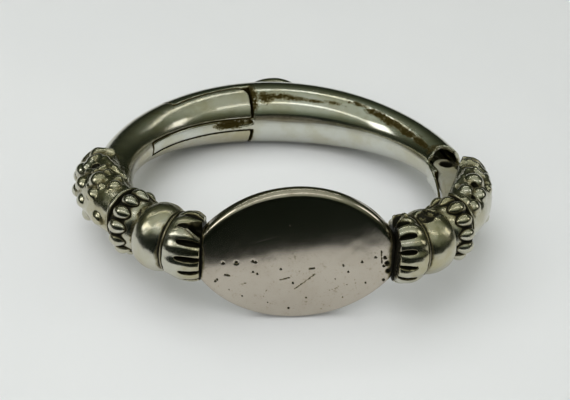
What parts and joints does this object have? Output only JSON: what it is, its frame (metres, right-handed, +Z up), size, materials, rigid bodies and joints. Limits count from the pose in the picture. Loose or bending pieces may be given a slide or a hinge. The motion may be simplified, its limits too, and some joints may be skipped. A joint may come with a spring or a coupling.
{
  "type": "hinged silver bracelet with oval plaque",
  "caption": "Round tubular silver bracelet with an oval plaque, ribbed and beaded collars, granulated shoulders and a hinged rear arm that closes in a forked lap.",
  "frame": {"origin": "middle of the bracelet's footprint, on the surface that it rests on", "axes": "+X towards the hinge side, -Y towards the plaque, +Z up from the surface"},
  "size_m": [0.082, 0.0744, 0.0257],
  "materials": {
    "shank_silver": "aged silver, worn bright on the high places and blackened between the granules",
    "collar_silver": "aged silver, polished by wear, with dark patina in the notches",
    "plaque_silver": "aged silver, smooth, with fine scratches and small dark pits",
    "arm_silver": "aged silver, bright, with brown tarnish on top and along the seams",
    "dark_silver": "silver with a thick dark patina"
  },
  "bodies": {
    "front": {"left_shank": "shank_silver", "right_shank": "shank_silver", "plaque": "plaque_silver", "melon_collar_left": "collar_silver", "melon_collar_right": "collar_silver", "spacer_ring_left": "dark_silver", "spacer_ring_right": "dark_silver", "smooth_bead_left": "collar_silver", "smooth_bead_right": "collar_silver", "notched_collar_left": "collar_silver", "notched_collar_right": "collar_silver"},
    "arm": {"rear_arm": "arm_silver", "rosette": "arm_silver", "hinge_pin": "dark_silver"}
  },
  "joints": [
    {"name": "hinge", "type": "hinge", "parent": "front", "child": "arm", "pos_m": [0.03363, 0.00096, 0.01011], "axis": [0.0127, -0.1052, -0.9944], "range_deg": [0, 50]}
  ]
}
